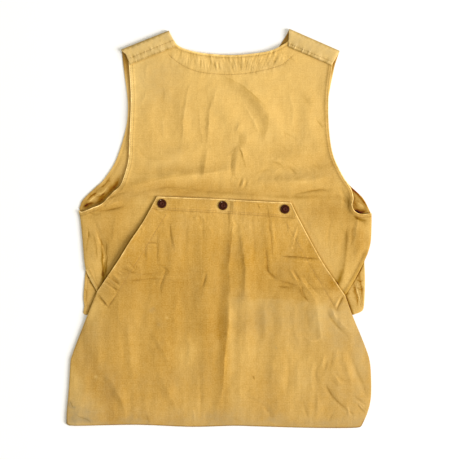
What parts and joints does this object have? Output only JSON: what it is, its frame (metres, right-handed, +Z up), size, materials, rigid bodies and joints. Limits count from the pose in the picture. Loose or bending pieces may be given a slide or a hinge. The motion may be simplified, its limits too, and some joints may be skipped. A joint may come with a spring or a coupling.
{
  "type": "hunting vest",
  "caption": "Canvas hunting vest lying flat with its back up, with wide armholes, lapped shoulders and a large flared game bag held along its top by domed snaps.",
  "frame": {"origin": "centre of the bounding box on the surface that the vest lies on", "axes": "+Z up, out of the back of the vest; +Y from the hem to the collar; +X to the wearer's right"},
  "size_m": [0.5493, 0.7182, 0.0104],
  "materials": {
    "canvas": "washed cotton duck, matt",
    "snap": "dark maroon enamel, satin"
  },
  "bodies": {
    "root": {"front_left": "canvas", "front_right": "canvas", "back": "canvas", "neck_facing": "canvas", "bag_inner": "canvas", "bag_outer": "canvas", "snap_left": "snap", "snap_centre": "snap", "snap_right": "snap"}
  },
  "joints": []
}
